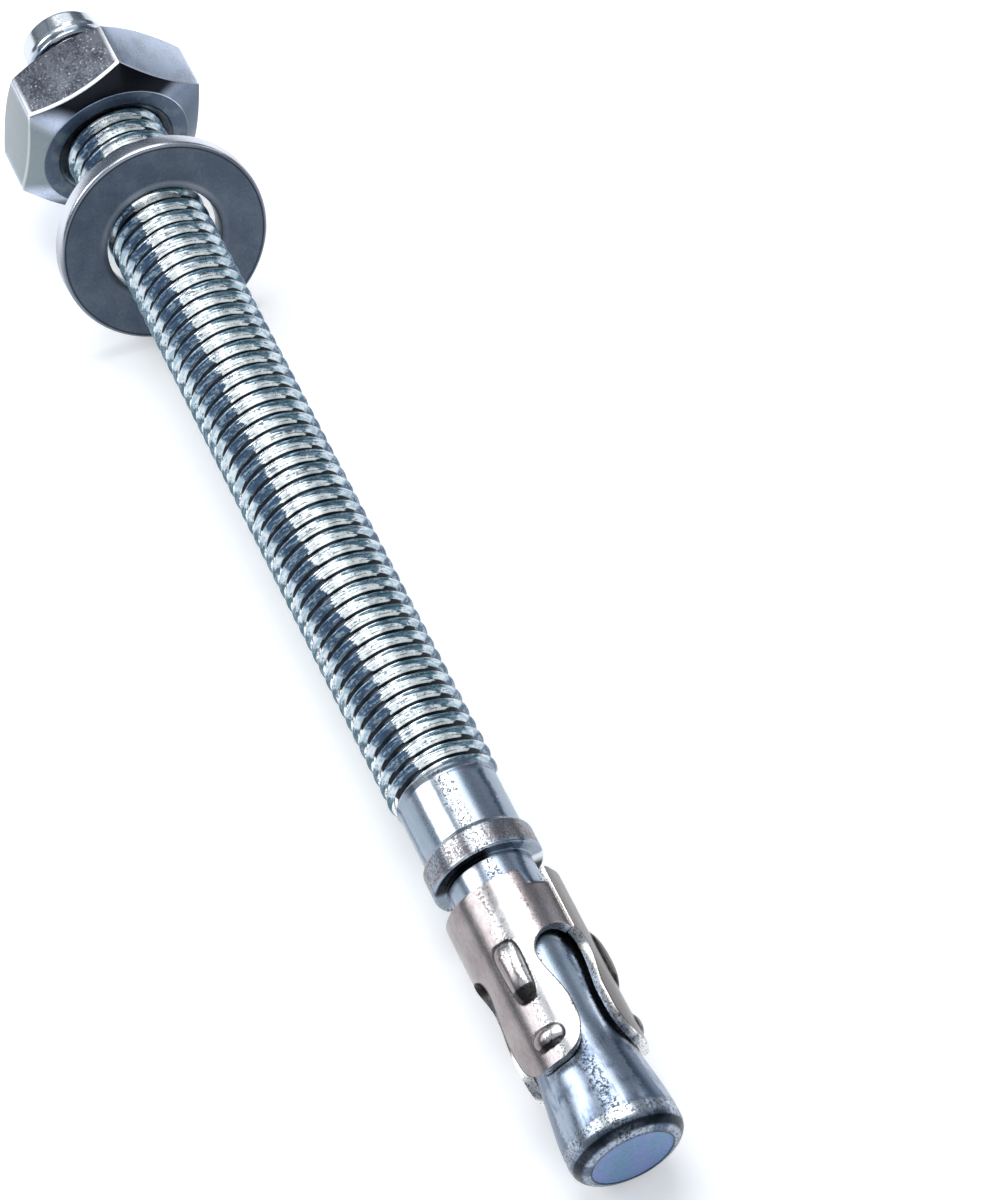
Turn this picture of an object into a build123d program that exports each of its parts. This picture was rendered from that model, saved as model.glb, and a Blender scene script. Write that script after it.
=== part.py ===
from build123d import *
from math import acos, asin, atan, atan2, cos, degrees, hypot, radians, sin, tan
import os

# Wedge anchor, M10 x 130, lying as it comes to rest, on its washer's foot and its cone's rim.
# Millimetres and degrees. In the row frame +Z is up, +X runs towards the cone, and the origin is the
# bottom centre of the box around the anchor.
# Each piece is made upright about the stud's axis, with the threaded end at height 0 and the cone on
# top. One placement lays them all down, and the side that faced +X then faces up.

# Stud. The thread is left as a plain cylinder of its major radius, and starts with a tapered lead.
anchor_length = 130.0
thread_radius = 4.9
thread_length = 93.3
lead_radius = 3.9
lead_length = 7.5
end_edge_break = 0.3
shank_radius = 4.45
collar_radius = 4.95
collar_width = 2.8
collar_edge_break = 0.35
collar_to_end = 30.8
neck_radius = 3.9
cone_radius = 4.95
cone_half_angle = 8.0
cone_land_to_end = 3.3
cone_blend_radius = 12.0
cone_rim_round = 1.5
cone_flat_radius = 3.75

# Expansion clip: one rolled sheet, slotted into fingers. Its own heights run from its back edge.
clip_to_end = 25.1
clip_length = 17.1
clip_sheet = 0.85
clip_cone_clearance = 0.05
finger_count = 3
first_finger_angle = 38.8
slot_root_height = 5.8
slot_root_width = 4.7
slot_throat_to_tip = 4.1
slot_throat_width = 3.4
slot_flare_to_tip = 2.5
slot_flare_radius = 3.7
finger_corner_round = 0.6
seam_angle = -39.0
seam_gap = 0.3
notch_width = 2.2
notch_depth = 1.5

# Pressed bumps on each finger, a little round from its middle: a long grip bump, and a small one across
# the tip.
bumps_off_middle = 7.2
grip_bump_height = 8.3
grip_bump_length = 5.4
grip_bump_width = 2.6
grip_bump_rise = 0.7
grip_bump_wall = 0.6
grip_bump_tilt = 4.0
tip_bump_to_tip = 2.2
tip_bump_length = 2.6
tip_bump_width = 1.7
tip_bump_rise = 0.4

# Hexagon nut, 17 mm across flats.
nut_across_flats = 17.0
nut_height = 8.0
nut_face_radius = 7.2
nut_chamfer_angle = 30.0
nut_thread_clearance = 0.05
nut_countersink = 0.7
nut_to_thread_end = 7.1
nut_corner_angle = 50.0

# Plain washer. It leans back until its bore's edges meet the thread.
washer_radius = 10.0
washer_thickness = 2.0
washer_edge_break = 0.3
washer_bore_clearance = 0.6
washer_lean_clearance = 0.03
washer_to_thread_end = 27.0

# How near two points count as one, and how far a cutting tool runs past what it cuts.
same = 1e-6
overrun = 1.0

# What follows from the sizes above.
collar_back = anchor_length - collar_to_end
collar_front = collar_back + collar_width
cone_slope = tan(radians(cone_half_angle))
cone_land = anchor_length - cone_land_to_end
cone_start = cone_land - (cone_radius - neck_radius) / cone_slope
cone_rim_turn = acos(1 - (cone_radius - cone_flat_radius) / cone_rim_round)
cone_rim_start = anchor_length - cone_rim_round * sin(cone_rim_turn)
clip_back = anchor_length - clip_to_end
clip_tip = clip_back + clip_length
clip_inner = cone_radius - (cone_land - clip_tip) * cone_slope + clip_cone_clearance
clip_outer = clip_inner + clip_sheet
finger_angles = [first_finger_angle + n * 360 / finger_count for n in range(finger_count)]
tip_bump_height = clip_length - tip_bump_to_tip
nut_bore = thread_radius + nut_thread_clearance
washer_bore = thread_radius + washer_bore_clearance


def washer_lean():
    # A bore of radius b, full up to a half height h, clears a rod of radius r up to the lean at which
    # h sin(lean) + r = b cos(lean).
    half = washer_thickness / 2 - washer_edge_break
    rod = thread_radius + washer_lean_clearance
    return acos(rod / hypot(washer_bore, half)) - atan(half / washer_bore)


def resting_slope():
    # The floor touches the corner of the washer's foot and the round of the cone's rim. Both are taken as
    # a height along the axis and a depth below it.
    half = washer_thickness / 2 - washer_edge_break
    foot_height = washer_to_thread_end + washer_radius * sin(washer_lean()) - half * cos(washer_lean())
    foot_depth = washer_radius * cos(washer_lean()) + half * sin(washer_lean())
    apart = cone_rim_start - foot_height
    drop = foot_depth - (cone_radius - cone_rim_round)
    return acos(cone_rim_round / hypot(drop, apart)) - atan2(apart, drop)


def turned(outline):
    # A half section in the XZ plane, turned about the axis.
    return revolve(make_face(outline), Axis.Z)


def corners_at(section, low, high, inside=0):
    # The corners of a half section that lie between two heights and further out than inside.
    return [v for v in section.vertices() if v.X > inside and low - same <= v.Z <= high + same]


def make_stud():
    half_turn = cone_rim_turn / 2
    rim_middle = (
        cone_radius - cone_rim_round * (1 - cos(half_turn)),
        0,
        cone_rim_start + cone_rim_round * sin(half_turn),
    )
    side = Polyline(
        (0, 0, anchor_length),
        (0, 0, 0),
        (lead_radius - end_edge_break, 0, 0),
        (lead_radius, 0, end_edge_break),
        (thread_radius, 0, lead_length),
        (thread_radius, 0, thread_length),
        (shank_radius, 0, thread_length + thread_radius - shank_radius),
        (shank_radius, 0, collar_back),
        (collar_radius, 0, collar_back),
        (collar_radius, 0, collar_front),
        (neck_radius, 0, collar_front),
        (neck_radius, 0, cone_start),
        (cone_radius, 0, cone_land),
        (cone_radius, 0, cone_rim_start),
    )
    rim = ThreePointArc(side @ 1, rim_middle, (cone_flat_radius, 0, anchor_length))
    section = make_face(Curve() + [side, rim, Line(rim @ 1, side @ 0)])
    section = chamfer(corners_at(section, collar_back, collar_front, shank_radius), collar_edge_break)
    section = fillet(corners_at(section, cone_start, cone_start), cone_blend_radius)
    section = fillet(corners_at(section, cone_land, cone_land), cone_blend_radius)
    return revolve(section, Axis.Z)


def slot_cutter(angle):
    # The slot's outline: a round root, sides that draw in to the throat, and a flare that rounds the
    # fingers' tips. Half of it is drawn flat, mirrored, and pushed out through the wall.
    root = slot_root_width / 2
    throat = slot_throat_width / 2
    waist = slot_root_height + root
    throat_height = clip_length - slot_throat_to_tip
    flare_height = clip_length - slot_flare_to_tip
    flare = asin(slot_flare_to_tip / slot_flare_radius)
    open_end = clip_length + overrun
    bow = ThreePointArc(
        (0, slot_root_height),
        (root * sin(radians(45)), waist - root * cos(radians(45))),
        (root, waist),
    )
    side = Spline((root, waist), (throat, throat_height), tangents=[(0, 1), (0, 1)])
    straight = Line((throat, throat_height), (throat, flare_height))
    tip = ThreePointArc(
        (throat, flare_height),
        (
            throat + slot_flare_radius * (1 - cos(flare / 2)),
            flare_height + slot_flare_radius * sin(flare / 2),
        ),
        (throat + slot_flare_radius * (1 - cos(flare)), clip_length),
    )
    rest = Polyline(tip @ 1, ((tip @ 1).X, open_end), (0, open_end), (0, slot_root_height))
    half = make_face(Curve() + [bow, side, straight, tip, rest])
    flat = Plane(origin=(0, 0, clip_back), x_dir=(0, 1, 0), z_dir=(1, 0, 0))
    return Rot(0, 0, angle) * extrude(flat * (half + mirror(half, Plane.YZ)), clip_outer + overrun)


def bump(length, width, rise, wall=0):
    # A rod with round ends, sunk so far into the outer wall that its footprint is length by width and
    # it rises that far. Less the wall, the same rod is the hollow behind the bump. It lies along X with
    # the clip's surface at height 0.
    radius = (width ** 2 / 4 + rise ** 2) / (2 * rise)
    reach = (length - width) / 2
    inner = radius - wall
    rod = Rot(0, 90, 0) * Cylinder(inner, 2 * reach)
    ends = Pos(-reach, 0, 0) * Sphere(inner) + Pos(reach, 0, 0) * Sphere(inner)
    return Pos(0, 0, rise - radius) * (rod + ends)


def on_finger(angle, height, shape, along_axis):
    # Stands a bump on the clip's outer wall, at this angle round it and this height up it.
    wall = Plane(
        origin=(clip_outer, 0, clip_back + height),
        x_dir=(0, 0, 1) if along_axis else (0, 1, 0),
        z_dir=(1, 0, 0),
    )
    return Rot(0, 0, angle) * wall.location * shape


def make_clip():
    upright = (Align.CENTER, Align.CENTER, Align.MIN)
    clip = Pos(0, 0, clip_back) * Cylinder(clip_outer, clip_length, align=upright)
    tilt = Rot(0, grip_bump_tilt, 0)
    grip = tilt * bump(grip_bump_length, grip_bump_width, grip_bump_rise)
    hollow = tilt * bump(grip_bump_length, grip_bump_width, grip_bump_rise, grip_bump_wall)
    tip = bump(tip_bump_length, tip_bump_width, tip_bump_rise)
    for angle in finger_angles:
        clip += on_finger(angle - bumps_off_middle, grip_bump_height, grip, True)
        clip += on_finger(angle - bumps_off_middle, tip_bump_height, tip, False)
    clip -= Pos(0, 0, clip_back) * Cylinder(clip_inner, clip_length, align=upright)
    for angle in finger_angles:
        clip -= on_finger(angle - bumps_off_middle, grip_bump_height, hollow, True)
        clip -= slot_cutter(angle + 180 / finger_count)
    corners = [
        edge
        for edge in clip.edges().filter_by(GeomType.LINE)
        if all(abs(v.Z - clip_tip) < same for v in edge.vertices())
    ]
    clip = fillet(corners, finger_corner_round)
    # The seam runs from the back edge into a slot, and the sheet's corner beside it is cut away.
    beside_seam = (Align.MIN, Align.MIN, Align.MIN)
    seam = Box(clip_outer + overrun, seam_gap, slot_root_height + slot_root_width / 2, align=beside_seam)
    notch = Pos(0, seam_gap, 0) * Box(clip_outer + overrun, notch_width, notch_depth, align=beside_seam)
    return clip - Pos(0, 0, clip_back) * Rot(0, 0, seam_angle) * (seam + notch)


def make_nut():
    corner = nut_across_flats / 2 / cos(radians(30))
    fall = (corner - nut_face_radius) * tan(radians(nut_chamfer_angle))
    hexagon = extrude(RegularPolygon(corner, 6, rotation=nut_corner_angle), nut_height)
    chamfers = turned(
        Polyline(
            (0, 0, 0),
            (nut_face_radius, 0, 0),
            (corner, 0, fall),
            (corner, 0, nut_height - fall),
            (nut_face_radius, 0, nut_height),
            (0, 0, nut_height),
            close=True,
        )
    )
    sink = nut_countersink * tan(radians(nut_chamfer_angle))
    bore = turned(
        Polyline(
            (0, 0, 0),
            (nut_bore + nut_countersink, 0, 0),
            (nut_bore, 0, sink),
            (nut_bore, 0, nut_height - sink),
            (nut_bore + nut_countersink, 0, nut_height),
            (0, 0, nut_height),
            close=True,
        )
    )
    return Pos(0, 0, nut_to_thread_end) * ((hexagon & chamfers) - bore)


def make_washer():
    band = Pos((washer_bore + washer_radius) / 2, 0) * Rectangle(
        washer_radius - washer_bore, washer_thickness
    )
    section = Plane.XZ * chamfer(band.vertices(), washer_edge_break)
    lean = Rot(0, degrees(washer_lean()), 0)
    return Pos(0, 0, washer_to_thread_end) * lean * revolve(section, Axis.Z)


def laid_down(pieces):
    # The axis points along +X and dips towards the cone by the resting slope.
    dip = resting_slope()
    lying = Plane(origin=(0, 0, 0), x_dir=(sin(dip), 0, cos(dip)), z_dir=(cos(dip), 0, -sin(dip)))
    down = {name: lying.location * piece for name, piece in pieces.items()}
    box = Compound(list(down.values())).bounding_box()
    shift = Pos(-box.center().X, -box.center().Y, -box.min.Z)
    print("threaded end on the axis", shift.position, "dip in degrees", degrees(dip))
    return {name: shift * piece for name, piece in down.items()}


def main():
    pieces = {
        "anchor_stud": make_stud(),
        "expansion_clip": make_clip(),
        "washer": make_washer(),
        "hex_nut": make_nut(),
    }
    os.makedirs("parts", exist_ok=True)
    for name, piece in laid_down(pieces).items():
        export_step(piece, f"parts/{name}.step")


main()
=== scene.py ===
# Looks of a wedge anchor lying on a pale floor: threaded stud, hexagon nut, washer and expansion clip.
import bpy
import bmesh
import numpy as np
from math import atan, cos, pi, radians, sin, tan
from mathutils import Matrix, Vector


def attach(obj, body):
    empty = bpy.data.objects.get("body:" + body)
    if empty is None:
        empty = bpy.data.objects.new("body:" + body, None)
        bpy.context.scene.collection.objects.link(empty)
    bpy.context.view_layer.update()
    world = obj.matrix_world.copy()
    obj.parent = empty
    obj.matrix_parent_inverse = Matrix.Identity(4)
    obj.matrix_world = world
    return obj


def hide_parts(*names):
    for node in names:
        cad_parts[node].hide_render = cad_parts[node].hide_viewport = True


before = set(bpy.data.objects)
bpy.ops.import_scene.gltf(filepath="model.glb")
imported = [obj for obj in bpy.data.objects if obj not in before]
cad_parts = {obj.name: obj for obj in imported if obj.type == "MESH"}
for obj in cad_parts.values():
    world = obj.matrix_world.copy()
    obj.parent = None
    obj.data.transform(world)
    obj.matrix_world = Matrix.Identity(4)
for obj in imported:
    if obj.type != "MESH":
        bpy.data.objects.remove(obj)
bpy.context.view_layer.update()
print("frame loaded:", ", ".join(sorted(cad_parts)))
mmPerMetre = 1000
joinWithin = 2e-7  # points nearer to each other than this, in metres, become one


# Every piece is worked out standing up, in millimetres about the stud's axis: the threaded end at height 0,
# the cone on top, and x the side that faces up once the anchor lies down.
lying = {
    "dip": 2.7161374,  # degrees that the axis falls towards the cone
    "threadedEnd": (-64.9305, 0.0, 11.0369),  # where the axis leaves the threaded end, mm
}


def lyingTurn():
    # Rows are where x, y and z of the standing anchor point once it lies down.
    dip = radians(lying["dip"])
    return np.array([[sin(dip), 0, cos(dip)], [0, -1, 0], [cos(dip), 0, -sin(dip)]])


def layDown(points):
    # Turned onto its side, moved to its place, and from millimetres to metres.
    return (points @ lyingTurn() + lying["threadedEnd"]) / mmPerMetre


def around(radius, turn, height):
    # x = r cos a, y = r sin a, z = height, with a in whole turns.
    radius, turn, height = np.broadcast_arrays(radius, turn, height)
    return np.stack([radius * np.cos(2 * pi * turn), radius * np.sin(2 * pi * turn), height], -1)


def smooth(x):
    # 3x^2 - 2x^3 between 0 and 1, flat outside.
    x = np.clip(x, 0, 1)
    return x * x * (3 - 2 * x)


def rise(value, low, high):
    # From 0 at low to 1 at high, smoothly.
    return smooth((value - low) / (high - low))


def easedOutline(corners, steps):
    # Corners are (radius, height, easing). Each one is replaced by the curve
    # (1-t)^2 before + 2t(1-t) corner + t^2 after, with before and after an easing away along its two sides.
    # A radius or height may be an array, with one value for each column.
    parts = [np.stack(np.broadcast_arrays(*(corner[k] for corner in corners))) for k in (0, 1)]
    spots = np.stack(np.broadcast_arrays(*(part.reshape(len(corners), -1) for part in parts)), 1)
    t = np.linspace(0, 1, steps)[:, None, None]
    rows = []
    for k, (spot, corner) in enumerate(zip(spots, corners)):
        back, ahead = spots[k - 1] - spot, spots[(k + 1) % len(spots)] - spot
        before = spot + back * corner[2] / np.hypot(*back)
        after = spot + ahead * corner[2] / np.hypot(*ahead)
        rows.append((1 - t) ** 2 * before + 2 * t * (1 - t) * spot + t ** 2 * after)
    return np.concatenate(rows)


def cells(points, closed=False):
    # The four corners of each cell of a grid of points, and of the cells from the last row to the first.
    index = np.arange(points.size // 3).reshape(points.shape[:2])
    if closed:
        index = np.vstack([index, index[:1]])
    return np.stack([index[:-1, :-1], index[:-1, 1:], index[1:, 1:], index[1:, :-1]], -1).reshape(-1, 4)


def addObject(name, data):
    added = bpy.data.objects.new(name, data)
    bpy.context.scene.collection.objects.link(added)
    return added


def makePiece(name, points, faces, edgeAngle, **shares):
    # Points that meet are merged, which closes seams and poles. Edges sharper than edgeAngle stay crisp.
    # Shares are attributes for the finish.
    mesh = bpy.data.meshes.new(name)
    mesh.vertices.add(points.size // 3)
    mesh.vertices.foreach_set("co", layDown(points).astype(np.float32).ravel())
    mesh.loops.add(faces.size)
    mesh.loops.foreach_set("vertex_index", faces.astype(np.int32).ravel())
    mesh.polygons.add(len(faces))
    mesh.polygons.foreach_set("loop_start", np.arange(0, faces.size, 4, dtype=np.int32))
    mesh.update(calc_edges=True)
    for share, values in shares.items():
        attribute = mesh.attributes.new(share, "FLOAT", "POINT")
        attribute.data.foreach_set("value", values.astype(np.float32).ravel())
    joined = bmesh.new()
    joined.from_mesh(mesh)
    bmesh.ops.remove_doubles(joined, verts=joined.verts, dist=joinWithin)
    joined.to_mesh(mesh)
    joined.free()
    mesh.polygons.foreach_set("use_smooth", np.ones(len(mesh.polygons), bool))
    mesh.set_sharp_from_angle(angle=radians(edgeAngle))
    print(name, "made:", len(mesh.polygons), "faces")
    return addObject(name, mesh)


# Stud: the thread is worked out as a helix, the rest is turned.
stud = {
    "sides": 96,
    "pitch": 1.5,
    "crestRadius": 4.9,
    "threadDepth": 0.9,
    "crestShare": 0.13,  # flat part of a crest, as a share of the pitch
    "rootShare": 0.17,
    "flankEase": 0.35,  # 0 for straight flanks, 1 for a wave
    # Places along one pitch where the thread has a row of points.
    "rows": np.array([0, 0.05, 0.09, 0.16, 0.3, 0.41, 0.5, 0.59, 0.7, 0.84, 0.91, 0.95]),
    "threadLength": 93.3,
    "threadOverrun": 0.6,  # how far the thread runs on into the shank
    "runOut": 1.5,  # and over what length it dies away
    "leadRadius": 3.9,
    "leadLength": 7.5,
    "leadThread": (0.6, 3.0),  # heights between which the thread is cut into the lead
    "endBreak": 0.3,
    "faceRows": (0.0, 2.16, 3.48),  # radii of the rows across the threaded end's face
    "shankRadius": 4.45,
    "edgeAngle": 38,  # degrees past which an edge stays crisp
    "easeSteps": 6,
    "outline": [  # radius, height and easing of each corner, from the thread on
        (4.45, 94.3, 0),
        (4.45, 99.1, 0.12),  # collar
        (4.97, 99.6, 0.15),
        (4.97, 101.9, 0.14),
        (4.77, 102.0, 0.1),
        (3.9, 102.02, 0.14),  # neck
        (3.9, 103.0, 0.3),
        (3.9, 119.22886, 1.6),  # cone, 8 degrees steep
        (5.0, 127.0, 1.6),
        (4.95, 129.25, 0.7),
        (4.0, 130.0, 0.45),  # flat end, a little dished
        (3.65, 130.0, 0.12),
        (3.4, 129.88, 0.2),
        (0.0, 129.88, 0),
    ],
}


def threadRadius(place):
    # place counts pitches from a crest. The radius falls from crest to root along a line, eased by a sine at
    # both ends: h - ease * sin(2 pi h) / 2 pi.
    fromCrest = np.abs(place - np.round(place))
    flank = 0.5 - (stud["crestShare"] + stud["rootShare"]) / 2
    h = np.clip((fromCrest - stud["crestShare"] / 2) / flank, 0, 1)
    eased = h - stud["flankEase"] * np.sin(2 * pi * h) / (2 * pi)
    return stud["crestRadius"] - stud["threadDepth"] * eased


def helixHeights(low, high, turn):
    # Rows that follow the thread: height = pitch * (row's place + turn), cut off square at low and high.
    first, last = np.floor(low / stud["pitch"]) - 1, np.ceil(high / stud["pitch"]) + 1
    place = (np.arange(first, last)[:, None] + stud["rows"]).ravel()
    return np.clip(stud["pitch"] * (place[:, None] + turn), low, high)


def studPoints():
    # The radius is the thread's. It draws in to the shank's as the thread dies away, and on the lead it is
    # never more than the cone start + (crest - start) * height / length. The end's edge is cut off by
    # (break - height)^2 / break. The rest is the turned outline.
    turn = np.linspace(0, 1, stud["sides"] + 1)
    end = stud["threadLength"] + stud["threadOverrun"]
    height = helixHeights(0.0, end, turn)
    radius = threadRadius(height / stud["pitch"] - turn)
    radius = stud["shankRadius"] + (radius - stud["shankRadius"]) * smooth((end - height) / stud["runOut"])
    lead = stud["leadRadius"] + (stud["crestRadius"] - stud["leadRadius"]) * height / stud["leadLength"]
    cut = np.minimum(radius - lead, 0) * rise(height, *stud["leadThread"])
    radius = np.where(height < stud["leadLength"], lead + cut, radius)
    radius = radius - np.maximum(stud["endBreak"] - height, 0) ** 2 / stud["endBreak"]
    face = around(np.array(stud["faceRows"])[:, None], turn, 0.0)
    rest = easedOutline(stud["outline"], stud["easeSteps"])
    return np.concatenate([face, around(radius, turn, height), around(rest[:, 0], turn, rest[:, 1])])


points = studPoints()
studPiece = makePiece("threaded_stud", points, cells(points), stud["edgeAngle"])
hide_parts("anchor_stud")
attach(studPiece, "stud")


# Nut: its thread is the stud's with room to run, and its corners are cut by a cone on both faces.
nut = {
    "from": 7.1,
    "height": 8.0,
    "acrossFlats": 17.0,
    "cornerTurn": 50.0,  # degrees from the up side to the first corner
    "cornerRound": 0.4,
    "faceRadius": 7.2,
    "chamferSlope": tan(radians(30.0)),
    "edgeEase": 0.16,
    "mouthRadius": 5.65,
    "mouthSlope": 1.732,
    "mouthEase": 0.12,
    "minorRadius": 4.3,
    "threadRoom": 0.06,
    "stepsOnFlat": 14,
    "stepsOnCorner": 4,
    "easeSteps": 4,
    "edgeAngle": 40,
}


def flatEndsAt():
    # The angle from the middle of a flat to where its corner's arc begins.
    half = nut["acrossFlats"] / 2
    return atan((half - nut["cornerRound"]) * tan(radians(30)) / half)


def hexagonRadius(away):
    # Radius at an angle away from the middle of a flat: half flats / cos(away), and an arc at the corner,
    # c cos d + sqrt(r^2 - c^2 sin^2 d), with d the angle from the corner and c where the arc is centred.
    half, ease = nut["acrossFlats"] / 2, nut["cornerRound"]
    centre = (half - ease) / cos(radians(30))
    d = radians(30) - np.abs(away)
    arc = centre * np.cos(d) + np.sqrt(np.maximum(ease ** 2 - (centre * np.sin(d)) ** 2, 0))
    return np.where(np.abs(away) > flatEndsAt(), arc, half / np.cos(away))


def nutPoints():
    # Outside, the hexagon's radius, cut at both faces by a cone that falls by (radius - face) * slope.
    # Inside, the stud's thread with some room, but never less than the bore or the mouth's cone.
    onFlat = np.linspace(-flatEndsAt(), flatEndsAt(), nut["stepsOnFlat"])
    onCorner = np.linspace(flatEndsAt(), radians(60) - flatEndsAt(), nut["stepsOnCorner"] + 1)[1:-1]
    side = np.concatenate([onFlat, onCorner])
    away = np.where(side > radians(30), side - radians(60), side)
    away = np.append(np.tile(away, 6), away[0])
    angle = np.append((side + radians(60) * np.arange(6)[:, None]).ravel(), side[0] + 2 * pi)
    turn = (angle + radians(nut["cornerTurn"] + 30)) / (2 * pi)
    outer = hexagonRadius(away)
    fall = (outer - nut["faceRadius"]) * nut["chamferSlope"]
    top, ease = nut["height"], nut["edgeEase"]
    shell = easedOutline([
        (nut["mouthRadius"], 0.0, nut["mouthEase"]),
        (nut["faceRadius"], 0.0, ease),
        (outer, fall, ease),
        (outer, top - fall, ease),
        (nut["faceRadius"], top, ease),
        (nut["mouthRadius"], top, nut["mouthEase"]),
    ], nut["easeSteps"])
    height = helixHeights(nut["from"], nut["from"] + top, turn)[::-1]
    bore = np.maximum(threadRadius(height / stud["pitch"] - turn) + nut["threadRoom"], nut["minorRadius"])
    toFace = np.minimum(height - nut["from"], nut["from"] + top - height)
    bore = np.maximum(bore, nut["mouthRadius"] - toFace * nut["mouthSlope"])
    return np.concatenate([around(shell[:, 0], turn, shell[:, 1] + nut["from"]), around(bore, turn, height)])


points = nutPoints()
nutPiece = makePiece("hexagon_nut", points, cells(points, closed=True), nut["edgeAngle"])
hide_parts("hex_nut")
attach(nutPiece, "nut")


# Washer: stamped, so the edges on its cone side are drawn round and the others are nearly sharp.
washer = {
    "at": 27.0,
    "lean": 19.98,  # degrees that it leans back over the thread
    "sides": 144,
    "easeSteps": 6,
    "edgeAngle": 45,
    "outline": [  # radius, height about its middle, and easing
        (5.5, -1.0, 0.14),  # nut side
        (9.96, -1.0, 0.14),
        (10.0, 0.2, 0.3),
        (10.0, 0.98, 0.42),  # cone side
        (9.55, 1.0, 0.12),
        (9.3, 1.0, 0.1),
        (6.6, 1.0, 0.3),
        (6.0, 1.0, 0.3),
        (5.52, 0.9, 0.14),
        (5.5, 0.0, 0.3),
    ],
    "faceAbove": 0.5,  # heights above this are on the cone side's face
    "rim": (9.7, 9.8),  # radii between which the rim, with its painted sheen, begins
    "mouth": (6.0, 6.4),  # and the slight painted sheen round the bore ends
    "mouthSheen": 0.3,
    "lineIn": (9.5, 9.6),  # and a dark line inside the rim begins
    "lineOut": (9.64, 9.72),  # and ends
    "bore": (5.54, 5.62),  # and the bore's own wall ends
}


def washerPoints():
    # The outline turned about the axis and leant over. Where the sheen and the dark line are painted, and
    # where the bore is, depends on the radius and the side alone.
    outline = easedOutline(washer["outline"], washer["easeSteps"])
    turn = np.linspace(0, 1, washer["sides"] + 1)
    radius, height = outline[:, 0], outline[:, 1]
    onFace = height > washer["faceAbove"]
    rim = np.maximum(rise(radius, *washer["rim"]), height < 0)
    mouth = washer["mouthSheen"] * (1 - rise(radius, *washer["mouth"])) * onFace
    line = rise(radius, *washer["lineIn"]) * (1 - rise(radius, *washer["lineOut"])) * onFace
    wall = 1 - rise(radius, *washer["bore"])
    lean = radians(washer["lean"])
    leaning = np.array([[cos(lean), 0, -sin(lean)], [0, 1, 0], [sin(lean), 0, cos(lean)]])
    size = (len(outline), len(turn))
    shares = [np.broadcast_to(share, size) for share in (np.maximum(rim, mouth), line, wall)]
    return around(radius, turn, height) @ leaning + (0, 0, washer["at"]), *shares


points, rubbed, shaded, bored = washerPoints()
washerPiece = makePiece("plain_washer", points, cells(points, closed=True), washer["edgeAngle"],
                        rubbed=rubbed, shaded=shaded, bored=bored)
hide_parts("washer")
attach(washerPiece, "washer")


# Clip: the sheet's outer face is a grid for each finger and a short strip that closes the band at its seam.
# Its wall and cut edges come from the modifiers.
clip = {
    "from": 104.9,
    "length": 17.0,
    "outerRadius": 5.19,
    "wall": 0.85,
    "fingerTurn": 38.8,  # degrees from the up side to the first finger's middle
    "bumpTurn": 31.6,  # and to the middles of its bumps
    "fingerHalf": 60.0,  # degrees from a finger's middle to the slots' middles
    "slotRoot": 5.65,
    "slotWidest": 7.8,
    "slotHalf": 28.0,  # half the slot, degrees round the axis
    "throat": 12.6,
    "throatHalf": 18.5,
    "tipFrom": 13.0,
    "tipPower": 2.6,
    "seamTurn": -39.0,
    "seamHalf": 1.5,
    "seamProud": 0.16,
    "notchDepth": 1.5,
    "notchEnd": (23.125, 26.25),  # degrees beyond the seam over which the notch ends
    "flare": 0.05,
    "flareFrom": (9.0, 17.0),  # heights between which the fingers flare
    "liftFrom": 22.0,  # degrees before the seam where the band starts to stand proud
    "liftTo": (6.0, 12.0),  # heights between which it settles again
    "slotShade": 0.8,  # how dark the sheet is along a slot
    "slotShadeWidth": 0.3,
    "slotShadeFrom": (0.4, 0.8),  # heights past the slot's root between which that begins
    "columns": 84,
    "stripColumns": 14,
    "rows": {"band": 26, "root": 17, "finger": 36, "tip": 30},
    "tipRowsTo": 80.0,  # degrees round the tip to the last row
    "edgeRound": 0.09,
    "edgeSteps": 2,
    "edgeAngle": 50,
    # The long grip bump and the cross bump near the tip: square is 2 for an ellipse and more for a rounded
    # rectangle, and taper narrows the bump towards the tip.
    "gripBump": {
        "middle": 8.3, "halfLength": 2.85, "halfWidth": 1.15, "rise": 0.7, "square": 3.6, "taper": 0.12,
    },
    "tipBump": {
        "middle": 14.75, "halfLength": 0.9, "halfWidth": 1.5, "rise": 0.42, "square": 2.4, "taper": 0.0,
    },
    "bumpCrown": 0.7,  # less than 1 for a flatter top and steeper sides
    "bumpFoot": 0.98,  # where the dark ring round a bump lies, as a share of the way to its edge
    "ringWidth": 0.10,
    "ringShade": 0.8,
    "dentFrom": (0.50, 0.62),  # where its dark end towards the tip begins
    "dentEdge": (0.88, 0.98),
    "litTo": (0.75, 0.9),  # how far out from its middle it is light
}


def clipRows():
    # Evenly up the band, then closer together where the slot's root and the fingers' tips turn.
    rows, root, widest, tip = clip["rows"], clip["slotRoot"], clip["slotWidest"], clip["tipFrom"]
    turning = 1 - np.cos(np.linspace(0, pi / 2, rows["root"]))
    tipping = np.sin(np.linspace(0, radians(clip["tipRowsTo"]), rows["tip"]))
    return np.concatenate([
        np.linspace(0, root, rows["band"]),
        root + (widest - root) * turning[1:],
        np.linspace(widest, tip, rows["finger"])[1:],
        tip + (clip["length"] - tip) * tipping[1:],
    ])


def slotHalf(height):
    # A quarter ellipse from the root to the widest place, then a smooth draw in to the throat.
    root, widest, half = clip["slotRoot"], clip["slotWidest"], clip["slotHalf"]
    ellipse = half * np.sqrt(np.clip(1 - ((widest - height) / (widest - root)) ** 2, 0, 1))
    beyond = half + (clip["throatHalf"] - half) * rise(height, widest, clip["throat"])
    return np.where(height < root, 0, np.where(height < widest, ellipse, beyond))


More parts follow.
